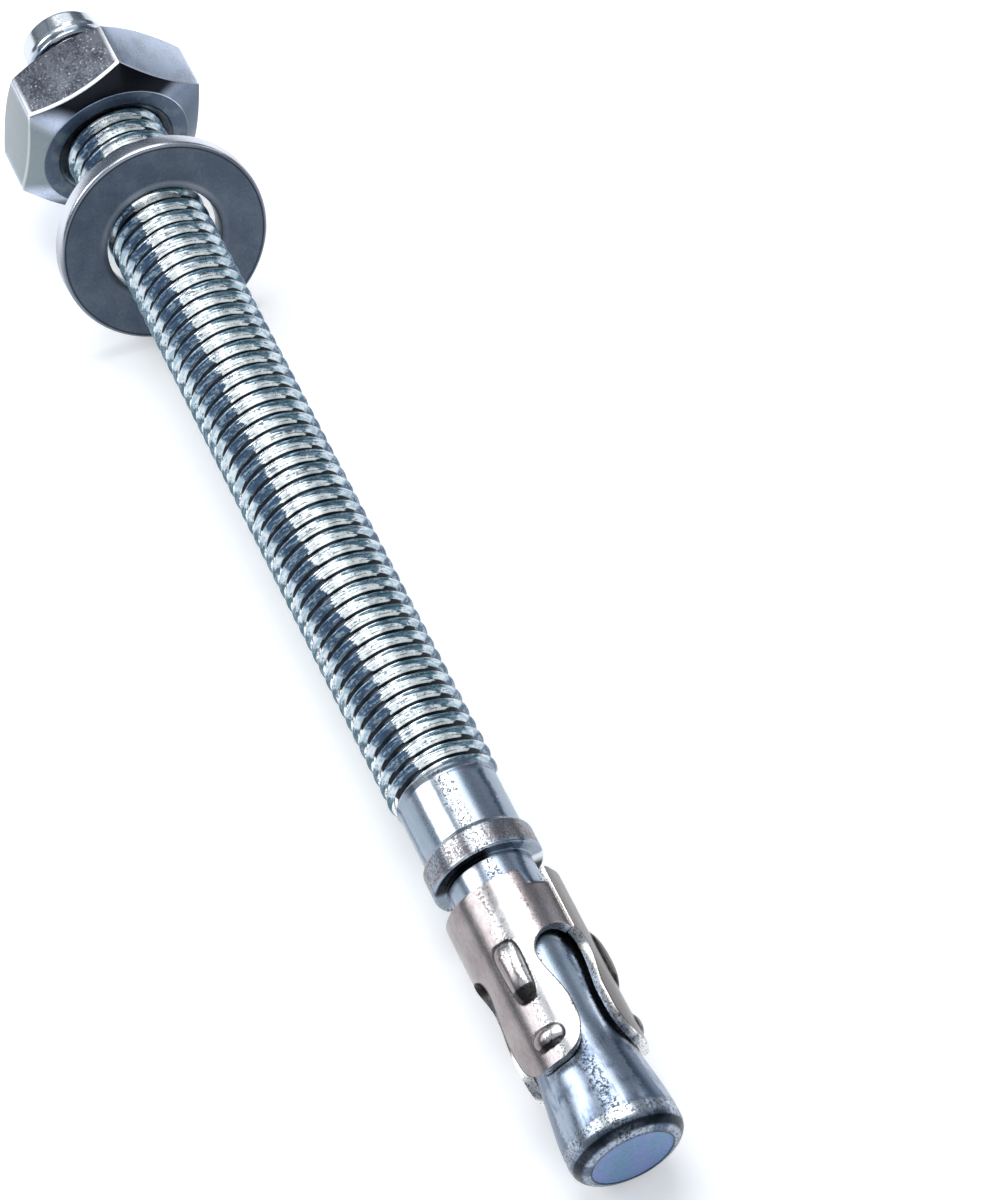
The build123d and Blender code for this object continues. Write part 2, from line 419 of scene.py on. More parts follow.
def tipShare(height):
    # (1 - x^n)^(1/n) rounds the finger off at its tip.
    x = np.clip((height - clip["tipFrom"]) / (clip["length"] - clip["tipFrom"]), 0, 1)
    return (1 - x ** clip["tipPower"]) ** (1 / clip["tipPower"])


def pressed(bump, side, height):
    # A bump stands rise * (1 - d^2)^crown out of the sheet, with d = (|x|^n + |y|^n)^(1/n) from its middle.
    # The second answer is its shade, from -1 on top to 1 at its foot: a ring near d = 1, and all of its end
    # towards the tip.
    x = (height - bump["middle"]) / bump["halfLength"]
    y = side / bump["halfWidth"] / (1 - bump["taper"] * x)
    d = (np.abs(x) ** bump["square"] + np.abs(y) ** bump["square"]) ** (1 / bump["square"])
    ring = np.exp(-((d - clip["bumpFoot"]) / clip["ringWidth"]) ** 2)
    dent = rise(x, *clip["dentFrom"]) * (1 - rise(d, *clip["dentEdge"]))
    dark = np.maximum(clip["ringShade"] * ring, dent)
    lit = 1 - rise(d, *clip["litTo"])
    return bump["rise"] * np.maximum(1 - d ** 2, 0) ** clip["bumpCrown"], dark - (1 - dark) * lit


def sheetPoints(angle, height, middle):
    # The sheet flares a little towards the tips, and lifts where the far end of the band meets the seam.
    side = radians(1) * (angle - middle + clip["fingerTurn"] - clip["bumpTurn"]) * clip["outerRadius"]
    grip, gripShade = pressed(clip["gripBump"], side, height)
    tip, tipShade = pressed(clip["tipBump"], side, height)
    radius = clip["outerRadius"] + clip["flare"] * rise(height, *clip["flareFrom"]) + grip + tip
    toSeam = rise(angle, clip["seamTurn"] - clip["liftFrom"], clip["seamTurn"]) * (angle < clip["seamTurn"])
    lift = clip["seamProud"] * toSeam * (1 - rise(height, *clip["liftTo"]))
    return around(radius + lift, angle / 360, height + clip["from"]), gripShade + tipShade


def notched(angle, height, middle):
    # Beyond the seam the back edge steps forward by the notch's depth, and the rows in front of it close up.
    beyond = angle - clip["seamTurn"]
    notch = clip["notchDepth"] * (1 - rise(beyond, *clip["notchEnd"])) * (beyond >= 0)
    notch = notch * (1 - rise(height, 0, clip["slotRoot"]))
    return sheetPoints(*np.broadcast_arrays(angle, height + notch), middle)


def clipFinger(middle):
    # The finger is as wide as its slots leave it, and its band reaches to the middles of the two slots, or
    # to the seam where that comes first. The shade rises over the last bit before a slot.
    height = clipRows()[:, None]
    reach = clip["fingerHalf"] - slotHalf(height)
    toSeam = clip["seamTurn"] - clip["seamHalf"] - middle
    high = np.minimum(reach, toSeam) if toSeam > 0 else reach
    q = np.linspace(-1, 1, clip["columns"] + 1)
    angle = np.where(q < 0, q * reach, q * high) * tipShare(height) + middle
    spots, shade = notched(angle, height, middle)
    fromEdge = (1 - np.abs(q)) * radians(1) * reach * clip["outerRadius"]
    edge = clip["slotShade"] * (1 - rise(fromEdge, 0, clip["slotShadeWidth"]))
    return spots, np.maximum(shade, edge * rise(height - clip["slotRoot"], *clip["slotShadeFrom"]))


def seamStrip():
    # From the seam to the middle of the slot. Its rows stretch to the slot's round root, which lies at
    # widest - depth * sqrt(1 - x^2).
    slotMiddle = clip["fingerTurn"] - clip["fingerHalf"]
    angle = np.linspace(clip["seamTurn"], slotMiddle, clip["stripColumns"] + 1)
    rootDepth = clip["slotWidest"] - clip["slotRoot"]
    arch = clip["slotWidest"] - rootDepth * np.sqrt(1 - ((angle - slotMiddle) / clip["slotHalf"]) ** 2)
    height = np.linspace(0, 1, clip["rows"]["band"])[:, None] * arch
    return notched(angle, height, clip["fingerTurn"])


panels = [
    clipFinger(clip["fingerTurn"] - 2 * clip["fingerHalf"]),
    seamStrip(),
    clipFinger(clip["fingerTurn"]),
    clipFinger(clip["fingerTurn"] + 2 * clip["fingerHalf"]),
]
starts = np.cumsum([0] + [shade.size for spots, shade in panels])
faces = np.concatenate([cells(spots) + start for (spots, shade), start in zip(panels, starts)])
points = np.concatenate([spots.reshape(-1, 3) for spots, shade in panels])
clipPiece = makePiece("split_clip", points, faces, clip["edgeAngle"],
                      shade=np.concatenate([shade.ravel() for spots, shade in panels]))
wall = clipPiece.modifiers.new("sheet wall", "SOLIDIFY")
wall.thickness = clip["wall"] / mmPerMetre
wall.offset = -1
wall.use_even_offset = True
wall.material_offset_rim = 1
edges = clipPiece.modifiers.new("cut edges", "BEVEL")
edges.width = clip["edgeRound"] / mmPerMetre
edges.segments = clip["edgeSteps"]
edges.limit_method = "ANGLE"
edges.angle_limit = radians(clip["edgeAngle"])
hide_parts("expansion_clip")
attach(clipPiece, "clip")


# Finishes. Arithmetic on a wire adds its Math node, so a finish reads as the sum it is.
def operator(operation, turned=False):
    # A method that adds one Math node. Turned swaps its two values.
    def method(wire, *others):
        values = (*others, wire) if turned else (wire, *others)
        return wire.nodes.add("Math", {"operation": operation}, 0, *values)
    return method


class Wire:
    def __init__(self, nodes, socket):
        self.nodes = nodes
        self.socket = socket

    __add__ = __radd__ = operator("ADD")
    __sub__ = operator("SUBTRACT")
    __rsub__ = operator("SUBTRACT", turned=True)
    __mul__ = __rmul__ = operator("MULTIPLY")
    __truediv__ = operator("DIVIDE")
    __rtruediv__ = operator("DIVIDE", turned=True)
    __pow__ = operator("POWER")
    __abs__ = operator("ABSOLUTE")
    angleFrom = operator("ARCTAN2")
    fraction = operator("FRACT")
    cosine = operator("COSINE")
    atMost = operator("MINIMUM")
    atLeast = operator("MAXIMUM")


class Nodes:
    def __init__(self, tree):
        self.tree = tree

    def feed(self, inlet, value):
        # Links a wire, or sets a plain value.
        if isinstance(value, Wire):
            self.tree.links.new(value.socket, inlet)
        elif inlet.type == "RGBA":
            inlet.default_value = (*value, 1.0)
        else:
            inlet.default_value = value

    def add(self, kind, settings, output, *placed, **named):
        # Makes any node: its type, its settings, the output to read, then the values or wires of its
        # sockets, by place or by name.
        node = self.tree.nodes.new("ShaderNode" + kind)
        for setting, value in settings.items():
            setattr(node, setting, value)
        for inlet, value in zip(node.inputs, placed):
            self.feed(inlet, value)
        for name, value in named.items():
            self.feed(node.inputs[name.replace("_", " ")], value)
        return Wire(self, node.outputs[output]) if node.outputs else None


class Finish(Nodes):
    # One material.
    def __init__(self, name):
        self.material = bpy.data.materials.new(name)
        self.material.use_nodes = True
        super().__init__(self.material.node_tree)
        self.tree.nodes.clear()

    def noise(self, place, scale, detail, roughness):
        # Scale is one number, or three for a pattern that is drawn out along the piece or round it.
        if isinstance(scale, tuple):
            place, scale = self.add("VectorMath", {"operation": "MULTIPLY"}, 0, place, scale), 1.0
        return self.add("TexNoise", {}, 0, Vector=place, Scale=scale, Detail=detail, Roughness=roughness)

    def attribute(self, name):
        return self.add("Attribute", {"attribute_name": name}, 2)

    def standing(self):
        # Object coordinates turned back to the standing anchor, in millimetres: place, distance from the
        # axis, angle round it and height along it.
        turn = Matrix(lyingTurn().tolist())
        start = -(turn @ Vector(lying["threadedEnd"]))
        place = self.add("Mapping", {}, 0, Vector=self.add("TexCoord", {}, 3), Location=start,
                         Rotation=turn.to_euler(), Scale=[mmPerMetre] * 3)
        x, y, along = (self.add("SeparateXYZ", {}, k, place) for k in range(3))
        return place, (x ** 2 + y ** 2) ** 0.5, y.angleFrom(x), along

    def metal(self, colour, roughness, height, depth, metallic=1.0):
        # Depth is how deep the relief is, in metres.
        relief = self.add("Bump", {}, 0, Height=height, Distance=depth, Strength=1.0)
        shader = self.add("BsdfPrincipled", {}, 0, Base_Color=colour, Metallic=metallic, Roughness=roughness,
                          Normal=relief)
        self.add("OutputMaterial", {}, 0, shader)
        return self.material


def blend(share, first, second):
    # A colour between two, by a share from 0 to 1.
    return share.nodes.add("Mix", {"data_type": "RGBA"}, 2, Factor=share, A=first, B=second)


def step(value, low, high):
    # Rises smoothly from 0 at low to 1 at high.
    return value.nodes.add("MapRange", {"interpolation_type": "SMOOTHSTEP"}, 0, value, low, high)


def band(value, low, high, soft):
    # 1 between low and high, and smoothly 0 beyond them.
    return step(value, low - soft, low + soft) * (1 - step(value, high - soft, high + soft))


def stripes(angle, turn, half, soft, shift):
    # 1 within half a stripe's width, in degrees, of three lines along the piece: at turn and every 120
    # degrees from it. Shift moves them sideways, in degrees.
    away = abs(((angle * (180 / pi) + shift - turn) / 120 + 0.5).fraction() - 0.5) * 120
    return 1 - step(away, half - soft, half + soft)


def patches(first, second, share, low, high):
    # Where the mix of two noises, by the first one's share, is high.
    return step(first * share + second * (1 - share), low, high)


def sway(first, second, most, least):
    # How far two noises push a pattern sideways, either way.
    return (first - 0.5) * most + (second - 0.5) * least


def towards(angle, turn):
    # 1 on the side at turn, in degrees, and -1 on the opposite one.
    return (angle - radians(turn)).cosine()


def eitherSide(angle, turn):
    # 1 on the side at turn, in degrees, and on the opposite one, and -1 half way between them.
    return ((angle - radians(turn)) * 2).cosine()


# In the looks below, noises are scale per mm, detail and roughness. Patches are the first noise's share, and
# where the mix of two begins to show and is full. A band is where it begins and ends, and how soft it is.
# Other pairs are where something begins and is full, and shares are how strongly it is laid on.
studLook = {
    # On the thread, blue and teal are painted dark reflections, pale a painted paler reflection and cream
    # the lip's painted highlight.
    "paintedHighlight": (0.93, 0.97, 0.98),
    "pale": (0.50, 0.66, 0.76),
    "teal": (0.075, 0.155, 0.20),
    "blue": (0.065, 0.12, 0.20),
    "cream": (0.95, 0.94, 0.89),
    "brown": (0.12, 0.10, 0.08),
    "deep": (0.008, 0.012, 0.018),
    "lavender": (0.34, 0.37, 0.45),
    "steel": (0.27, 0.35, 0.42),
    "coneBlue": (0.36, 0.42, 0.51),
    "coneDark": (0.13, 0.17, 0.24),
    "fleck": (0.04, 0.045, 0.06),
    "collar": (0.25, 0.225, 0.23),
    "flatEnd": (0.155, 0.28, 0.45),
    "flatViolet": (0.20, 0.27, 0.52),
    "noises": [  # cloud, grain, fine, drawn and rolled
        (0.34, 3.0, 0.6), (3.4, 4.0, 0.65), (6.0, 3.0, 0.7), ((3.6, 3.6, 0.25), 3.0, 0.55),
        ((0.8, 0.8, 7.0), 3.0, 0.6),
    ],
    # Bands across the thread, in pitches from a crest. The lip is a painted highlight line, the root painted
    # shade, and the hidden back is painted white so that the groove reflects it.
    "nearRoot": (0.15, 0.60, 0.09),
    "dash": (0.06, 0.24, 0.03),
    "lipHighlight": (0.265, 0.35, 0.01),
    "seam": (0.25, 0.272, 0.006),
    "root": (0.30, 0.53, 0.012),
    "rootAfterLip": 0.055,  # the root's painted shade begins this much later where there is the lip highlight
    "rootBetween": 0.045,  # and this much sooner between streaks
    "back": (0.56, 0.86, 0.03),
    # Round the thread, in thirds of a turn from a streak along it: a painted highlight, with painted dark
    # reflections before and after it.
    "streakTurn": 11.3,  # degrees from the up side
    "streakFrom": (-0.16, -0.14),
    "streakTo": 0.03,
    "streakReach": 0.33,  # how much further it goes near a root
    "streakRagged": 0.3,
    "streakEnd": (-0.02, 0.02),
    "streakSway": (0.16, 0.16),
    "between": (0.39, 0.44),
    "paleBits": (0.6, 0.50, 0.57),
    "dashBits": (0.6, 0.55, 0.59),
    "seamBits": (0.5, 0.46, 0.52),
    "backBits": (0.6, 0.42, 0.50),
    "whiteBits": (0.46, 0.52),
    "paleShare": 0.6,
    "betweenShare": 0.8,
    "whiteShare": 0.7,
    "dashShare": 0.85,
    "backShares": (0.45, 0.45),  # everywhere, and how much more in patches
    "threadMetal": (0.5, 0.45),  # everywhere, and how much more on the painted highlight and the lip highlight
    "backMetal": 0.7,  # how much less on the back
    # Stripes along the plain part, painted highlights and a painted dark reflection: degrees from the up
    # side, half their width, and softness.
    "rubbed": (33.0, 10, 2),
    "pitsAndHighlight": (10.0, 9, 3),
    "dark": (-37.0, 4, 2),
    "darkWider": 7,  # how much wider on the cone
    "rim": (8.0, 22, 6),
    "stripeSway": (24, 12),
    "rubbedSway": 0.3,  # as a share of the others'
    "rubbedShares": (0.75, 0.3),  # on the shank, and how much less on the neck
    "pitHighlightShare": 0.4,
    "shankPatches": (0.6, 0.40, 0.60),
    "neckPatches": (0.38, 0.58),
    "neckShare": 0.7,
    "conePatches": (0.7, 0.36, 0.54),
    "collarPatches": (0.6, 0.43, 0.53),
    "flecks": (0.5, 0.50, 0.55),
    "coneFlecks": 0.02,  # how much sooner they show on the cone
    "collarFlecks": 0.5,
    "rimFlecks": 0.6,
    "fleckShare": 0.9,
    # Heights along the stud, mm.
    "faceTo": (0.1, 0.3),
    "lead": (0.15, 2.8, 0.1),
    "leadSheenShare": 0.5,
    "thread": (3.4, 93.1, 0.2),
    "plainFrom": (92.9, 93.3),
    "collarFace": (99.6, 101.7, 0.08),
    "collarShade": (101.95, 102.35, 0.05),
    "neckFrom": (102.0, 104.0),
    "coneFrom": (118.0, 121.0),
    "rimFlecksFrom": (127.0, 127.8),
    "rubbedRim": (127.7, 128.75, 0.2),
    "rubbedRimShare": 0.8,
    "rubbedRimLeast": 0.25,  # away from its stripes
    "rimShade": (129.1, 129.75, 0.1),
    "rimShadeShare": 0.9,
    "endFrom": (129.6, 129.85),
    # Distances from the axis, mm.
    "rimShadeFrom": (3.72, 3.8),
    "flatTo": (3.5, 3.62),
    "flatLine": (3.54, 3.68, 0.04),
    "flatLineShare": 0.8,
    "flatPatches": (0.42, 0.62),
    "shadeTurn": 45.0,  # degrees from the up side to the shade under the collar
    "shadeEdge": (-0.2, 0.3),
    "threadRoughness": 0.15,
    "plainRoughness": 0.24,
    "grainRoughness": 0.08,
    "fleckRoughness": 0.2,
    "grainRelief": 0.6,
    "drawnRelief": 0.5,
    "relief": 5e-6,
}


def threadWithPaintedLight(angle, along, cloud, grain, rolled):
    # Across is 0 on a crest and a half in a root. Beside goes from -0.5 to 0.5 about one of three streaks of
    # painted light:
    # a blue painted dark reflection before it, then the painted white highlight, which reaches further the
    # nearer the root it is, then a teal painted dark reflection.
    # Half way between two streaks lies a paler painted reflection with painted white glints, without the lip
    # highlight and with a wider painted root shade.
    # The second answer is how much of it is bare metal.
    look = studLook
    across = (along / stud["pitch"] - angle / (2 * pi)).fraction()
    wobble = sway(cloud, rolled, *look["streakSway"])
    beside = (0.5 + look["streakTurn"] / 120 + wobble - angle * 3 / (2 * pi)).fraction() - 0.5
    reach = look["streakTo"] + look["streakReach"] * band(across, *look["nearRoot"])
    reach = reach + (rolled - 0.5) * look["streakRagged"]
    # The streak's painted highlight, between painted dark reflections, blue before it and teal after it.
    afterStart = step(beside, *look["streakFrom"])
    paintedHighlight = afterStart * (1 - step(beside - reach, *look["streakEnd"]))
    tone = blend(afterStart, look["blue"], look["teal"])
    pale = patches(rolled, grain, *look["paleBits"]) * look["paleShare"]
    tone = blend(pale, tone, look["pale"])
    # Half way between the streaks, a paler painted reflection with painted white glints.
    between = step(abs(beside), *look["between"])
    tone = blend(between * look["betweenShare"], tone, look["pale"])
    bits = between * step(rolled, *look["whiteBits"])
    tone = blend(bits * look["whiteShare"], tone, look["paintedHighlight"])
    tone = blend(paintedHighlight, tone, look["paintedHighlight"])
    dash = band(across, *look["dash"]) * patches(rolled, grain, *look["dashBits"]) * afterStart
    tone = blend(dash * look["dashShare"], tone, look["blue"])
    # The lip: a painted highlight line on the flank near the root, where the streak's highlight is.
    withLip = afterStart * (1 - between)
    lipHighlight = band(across, *look["lipHighlight"]) * withLip
    tone = blend(lipHighlight, tone, look["cream"])
    seam = band(across, *look["seam"]) * patches(rolled, grain, *look["seamBits"])
    tone = blend(seam, tone, look["brown"])
    # The hidden back flank painted white, a painted light that the groove reflects.
    back = band(across, *look["back"])
    everywhere, more = look["backShares"]
    patchy = everywhere + patches(rolled, grain, *look["backBits"]) * more
    tone = blend(back * patchy, tone, look["paintedHighlight"])
    # The root in painted shade.
    rootFrom, rootTo, soft = look["root"]
    rootFrom = rootFrom + withLip * look["rootAfterLip"] - between * look["rootBetween"]
    tone = blend(band(across, rootFrom, rootTo, soft), tone, look["deep"])
    everywhere, more = look["threadMetal"]
    return tone, (everywhere + paintedHighlight.atLeast(lipHighlight) * more) * (1 - back * look["backMetal"])


def plateStud():
    look = studLook
    finish = Finish("bright zinc on the stud")
    place, away, angle, along = finish.standing()
    cloud, grain, fine, drawn, rolled = (finish.noise(place, *kind) for kind in look["noises"])
    thread, threadMetal = threadWithPaintedLight(angle, along, cloud, grain, rolled)
    # The plain shank and neck, with their painted highlight stripes, then the bluer cone, and a painted dark
    # reflection stripe that widens on the cone.
    shift = sway(cloud, grain, *look["stripeSway"])
    tone = blend(patches(drawn, cloud, *look["shankPatches"]), look["steel"], look["lavender"])
    neck = step(along, *look["neckFrom"])
    bluish = neck * step(cloud, *look["neckPatches"])
    tone = blend(bluish * look["neckShare"], tone, look["coneBlue"])
    rubbed = stripes(angle, *look["rubbed"], shift * look["rubbedSway"])
    onShank, lessOnNeck = look["rubbedShares"]
    tone = blend(rubbed * (onShank - neck * lessOnNeck), tone, look["paintedHighlight"])
    cone = step(along, *look["coneFrom"])
    bluer = patches(cloud, drawn, *look["conePatches"])
    tone = blend(cone, tone, blend(bluer, look["coneDark"], look["coneBlue"]))
    turn, half, soft = look["dark"]
    dark = stripes(angle, turn, half + cone * look["darkWider"], soft, shift)
    tone = blend(dark, tone, look["coneDark"])
    # The collar, a painted highlight on the pitted stripes off the neck, and the flecks on the collar, on
    # those stripes and towards the rim.
    collar = band(along, *look["collarFace"])
    tone = blend(collar * patches(fine, cloud, *look["collarPatches"]), tone, look["collar"])
    pitsAndHighlight = stripes(angle, *look["pitsAndHighlight"], shift)
    tone = blend(pitsAndHighlight * (1 - neck) * look["pitHighlightShare"], tone, look["paintedHighlight"])
    atRim = step(along, *look["rimFlecksFrom"]) * look["rimFlecks"]
    flecked = (pitsAndHighlight + collar * look["collarFlecks"] + atRim).atMost(1.0)
    share, low, high = look["flecks"]
    fleck = patches(grain, fine, share, low - cone * look["coneFlecks"], high) * flecked
    tone = blend(fleck * look["fleckShare"], tone, look["fleck"])
    # The painted highlight round the rim, and the painted shade under the collar and behind the flat end.
    least = look["rubbedRimLeast"]
    rim = band(along, *look["rubbedRim"]) * (1 - patches(grain, fine, *look["flecks"]))
    rim = rim * (least + stripes(angle, *look["rim"], shift) * (1 - least))
    tone = blend(rim * look["rubbedRimShare"], tone, look["paintedHighlight"])
    under = band(along, *look["collarShade"])
    under = under * step(eitherSide(angle, look["shadeTurn"]), *look["shadeEdge"])
    rimShade = band(along, *look["rimShade"]) * step(away, *look["rimShadeFrom"])
    tone = blend(under + rimShade * look["rimShadeShare"], tone, look["deep"])
    # The flat end with a dark line round it.
    atEnd = step(along, *look["endFrom"])
    endTone = blend(step(cloud, *look["flatPatches"]), look["flatEnd"], look["flatViolet"])
    tone = blend(atEnd * (1 - step(away, *look["flatTo"])), tone, endTone)
    line = atEnd * band(away, *look["flatLine"])
    tone = blend(line * look["flatLineShare"], tone, look["deep"])
    # The threaded end's face, a painted sheen on its lead, and the thread with its painted light.
    tone = blend(1 - step(along, *look["faceTo"]), tone, look["steel"])
    tone = blend(band(along, *look["lead"]) * look["leadSheenShare"], tone, look["paintedHighlight"])
    onThread = band(along, *look["thread"])
    tone = blend(onThread, tone, thread)
    plain = step(along, *look["plainFrom"])
    roughness = (look["threadRoughness"] + grain * look["grainRoughness"] + fleck * look["fleckRoughness"]
                 + plain * (look["plainRoughness"] - look["threadRoughness"]))
    height = grain * look["grainRelief"] + drawn * plain * look["drawnRelief"]
    return finish.metal(tone, roughness, height, look["relief"], 1 - onThread * (1 - threadMetal))


nutLook = {
    "lavender": (0.60, 0.68, 0.84),
    "grey": (0.20, 0.24, 0.255),
    "dull": (0.20, 0.215, 0.25),
    "dark": (0.065, 0.073, 0.09),
    "shade": (0.012, 0.014, 0.018),
    "ring": (0.085, 0.115, 0.165),
    "edge": (0.95, 0.96, 0.98),
    "bore": (0.16, 0.18, 0.21),
    "noises": [(0.30, 3.0, 0.6), (4.0, 4.0, 0.7)],  # cloud and grain
    "dullPatches": (0.5, 0.40, 0.58),
    "dullSparks": (0.62, 0.68),
    "platedPatches": (0.5, 0.44, 0.62),
    "platedShare": 0.42,
    "ringPatches": (0.5, 0.65),
    "ringShare": 0.5,
    # Degrees from the up side to the middles of the sides, and how sharply each ends.
    "paintedShadeTurn": 20.0,
    "paintedShadeEdge": (0.44, 0.56),
    "greyTurn": 80.0,
    "greyEdge": (0.3, 0.7),
    "shadeTurn": -6.0,
    "shadeEdge": (-0.45, 0.20),
    "shadeDraw": 0.2,  # how much the shade draws in towards the face
    "dimTurn": -72.0,
    "dimEdge": (0.75, 0.92),
    "dimShare": 0.85,
    "flatTo": (0.04, 0.10),  # mm inside the hexagon
    "chamferFrom": (0.03, 0.07),
    "cornerTo": (0.4, 0.6),
    "lineTo": (0.38, 0.46),  # mm from the chamfer's cone
    "cornerFrom": (0.0, 0.1),
    "beyondFace": (0.02, 0.08),  # mm beyond the face's circle
    "faceEdge": (-0.05, 0.0),
    "faceTo": (0.05, 0.1),  # mm from the faces
    "frontFrom": (3.0, 5.0),  # mm from the back face
    "boreTo": (5.35, 5.62),  # mm from the axis
    "lineLeast": 0.25,  # away from the flats in painted shade
    "corner": (0.478, 0.500),  # radians from a flat's middle
    "cornerShare": 0.4,
    "roughness": 0.22,
    "grainRoughness": 0.14,
    "dullRoughness": 0.08,
    "relief": 8e-6,
}


def plateNut():
    look = nutLook
    finish = Finish("pressed zinc on the nut")
    place, away, angle, along = finish.standing()
    cloud, grain = (finish.noise(place, *kind) for kind in look["noises"])
    # From the middle of the nearest flat, in radians, and how far inside the hexagon a point lies.
    side = ((angle - radians(nut["cornerTurn"])) / radians(60)).fraction() * radians(60) - radians(30)
    inside = nut["acrossFlats"] / 2 / side.cosine() - away
    beyond = away - nut["faceRadius"]
    up = along - nut["from"]
    toFace = up.atMost(nut["height"] - up)
    fromCone = toFace - beyond * nut["chamferSlope"]
    flat = 1 - step(inside, *look["flatTo"])
    # Painted light and shade: opposite flats match, one pair in painted shade and mottled, one grey and one
    # in a pale lavender painted sheen.
    paintedShadeSide = step(eitherSide(angle, look["paintedShadeTurn"]), *look["paintedShadeEdge"]) * flat
    greySide = step(eitherSide(angle, look["greyTurn"]), *look["greyEdge"])
    dull = blend(patches(cloud, grain, *look["dullPatches"]), look["dark"], look["dull"])
    dull = blend(step(grain, *look["dullSparks"]), dull, look["edge"])
    plated = blend(greySide, look["lavender"], look["grey"])
    mottle = patches(cloud, grain, *look["platedPatches"])
    plated = blend(mottle * look["platedShare"], plated, look["dull"])
    tone = blend(paintedShadeSide, plated, dull)
    # A painted highlight line where a flat meets the chamfer, and painted highlights on the corners.
    least = look["lineLeast"]
    line = flat * (1 - step(fromCone, *look["lineTo"])) * (least + paintedShadeSide * (1 - least))
    line = line * step(up, *look["frontFrom"])
    corner = step(abs(side), *look["corner"]) * (1 - step(inside, *look["cornerTo"]))
    corner = corner * step(fromCone, *look["cornerFrom"])
    tone = blend(line + corner * look["cornerShare"], tone, look["edge"])
    # The chamfer in shade, the ring of the face and the bore.
    chamfer = step(inside, *look["chamferFrom"]) * step(beyond, *look["beyondFace"])
    facing = eitherSide(angle, look["shadeTurn"]) - inside * look["shadeDraw"]
    shaded = chamfer * step(facing, *look["shadeEdge"])
    tone = blend(shaded, tone, look["shade"])
    dim = chamfer * step(towards(angle, look["dimTurn"]), *look["dimEdge"]) * (1 - shaded)
    tone = blend(dim * look["dimShare"], tone, look["ring"])
    ring = (1 - step(beyond, *look["faceEdge"])) * (1 - step(toFace, *look["faceTo"]))
    ringPatches = step(cloud, *look["ringPatches"]) * look["ringShare"]
    tone = blend(ring, tone, blend(ringPatches, look["ring"], look["grey"]))
    tone = blend(step(away, *look["boreTo"]), look["bore"], tone)
    roughness = look["roughness"] + grain * look["grainRoughness"] + paintedShadeSide * look["dullRoughness"]
    return finish.metal(tone, roughness, grain, look["relief"])


washerLook = {
    "slate": (0.075, 0.095, 0.13),
    "wearAndHighlight": (0.115, 0.14, 0.18),
    "rim": (0.62, 0.64, 0.70),
    "wall": (0.20, 0.215, 0.26),
    "bore": (0.22, 0.25, 0.29),
    "line": (0.015, 0.02, 0.03),
    "noises": [(0.30, 3.0, 0.6), (5.0, 4.0, 0.7)],  # cloud and grain
    "facePatches": (0.5, 0.38, 0.62),
    "rimTurn": 8.0,  # degrees from the up side to the painted highlight on the wall
    "rimEdge": (0.20, 0.65),
    "roughness": 0.40,
    "grainRoughness": 0.1,
    "rubbedRoughness": 0.2,  # how much smoother where the sheen is painted
    "relief": 5e-6,
}


def plateWasher():
    look = washerLook
    finish = Finish("dull zinc on the washer")
    place, _, angle, _ = finish.standing()
    rubbed = finish.attribute("rubbed")
    cloud, grain = (finish.noise(place, *kind) for kind in look["noises"])
    face = blend(patches(cloud, grain, *look["facePatches"]), look["slate"], look["wearAndHighlight"])
    # Where the sheen is painted, the wall's grey turns to a painted highlight on the up side.
    bright = step(towards(angle, look["rimTurn"]), *look["rimEdge"])
    tone = blend(rubbed, face, blend(bright, look["wall"], look["rim"]))
    tone = blend(finish.attribute("bored"), tone, look["bore"])
    # A dark line of painted shade inside the rim.
    tone = blend(finish.attribute("shaded"), tone, look["line"])
    roughness = look["roughness"] + grain * look["grainRoughness"] - rubbed * look["rubbedRoughness"]
    return finish.metal(tone, roughness, grain, look["relief"])


clipLook = {
    "warm": (0.385, 0.345, 0.345),
    "brown": (0.27, 0.235, 0.235),
    "dull": (0.16, 0.147, 0.138),
    "wearAndHighlight": (0.82, 0.80, 0.79),
    "dark": (0.035, 0.028, 0.026),
    "cutEdge": (0.88, 0.87, 0.85),
    "noises": [(0.38, 3.0, 0.6), (4.5, 4.0, 0.7), ((5.0, 5.0, 1.6), 3.0, 0.6)],  # cloud, grain, brushed
    "cutNoise": (5.0, 4.0, 0.7),
    "brushedPatches": (0.4, 0.30, 0.66),
    # Stripes, one on each finger: half their width and softness, in degrees.
    "highlightStripeTurn": 13.3,  # degrees from the up side to the first one
    "stripes": [(16, 3), (20, 3), (9, 4)],  # the painted highlight, and its flecked border's outside and inside
    "stripeSway": (26, 14),
    "bandTo": (3.5, 6.0),  # height over which the fingers leave the band
    "bandPatches": (0.40, 0.60),
    "bandShare": 0.6,  # how much less of the painted highlight the band has there
    "paintedShadeTurn": -64.0,  # degrees from the up side to the side in painted shade
    "paintedShadeEdge": (0.80, 0.97),
    "paintedShadeShare": 0.9,
    "flecks": (0.53, 0.58),
    "fleckShare": 0.7,
    "litTo": (-0.8, -0.2),  # shade below which the sheet is light
    "litShare": 0.9,
    "litMetal": 0.6,  # how much less it is bare metal there
    "darkFrom": (0.05, 0.75),  # and above which it is dark
    "darkShare": 0.9,
    "cutPatches": (0.36, 0.50),
    "darkEdgeTurn": 75.0,  # degrees from the up side to the slot whose edges are in painted shade
    "darkEdge": (0.5, 0.8),
    "darkEdgeTo": (11.0, 13.0),  # height over which they end
    "roughness": 0.20,
    "grainRoughness": 0.12,
    "cutRoughness": 0.18,
    "cutGrainRoughness": 0.2,
    "grainRelief": 0.7,
    "brushedRelief": 0.3,
    "relief": 6e-6,
}


